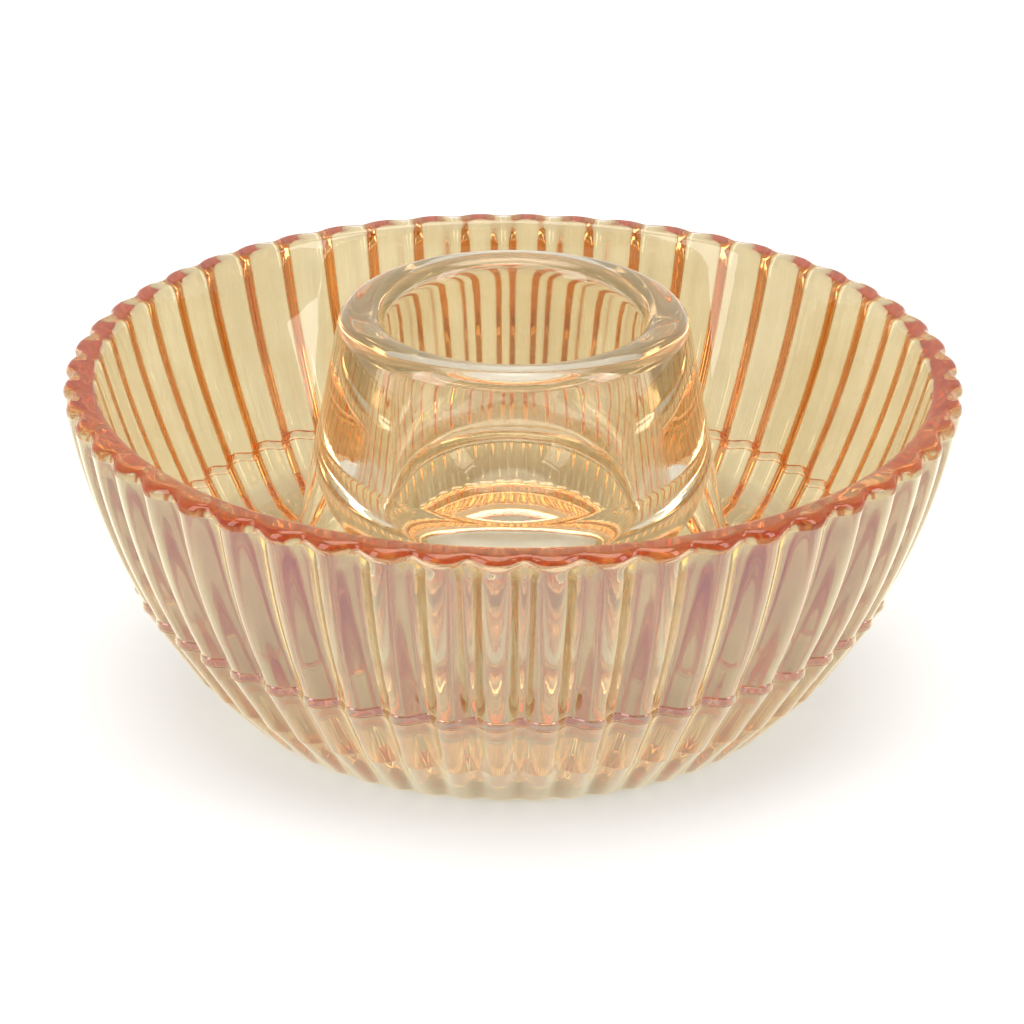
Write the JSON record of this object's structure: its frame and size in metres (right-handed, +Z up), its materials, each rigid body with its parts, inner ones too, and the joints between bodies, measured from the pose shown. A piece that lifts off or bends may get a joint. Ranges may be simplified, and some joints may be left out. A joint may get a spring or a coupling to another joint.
{
  "type": "tealight holder",
  "caption": "Low flaring reeded glass bowl in pale amber lustre, with a clear conical tealight cup standing on its floor.",
  "frame": {"origin": "middle of the foot, on the surface that the holder stands on", "axes": "+Z up through the cup; the object is the same all round"},
  "size_m": [0.14, 0.14, 0.063],
  "materials": {
    "lustre_glass": "polished pressed glass with an amber lustre on the outside",
    "clear_glass": "polished clear pressed glass"
  },
  "bodies": {
    "root": {"ribbed_bowl": "lustre_glass", "candle_cup": "clear_glass"}
  },
  "joints": []
}
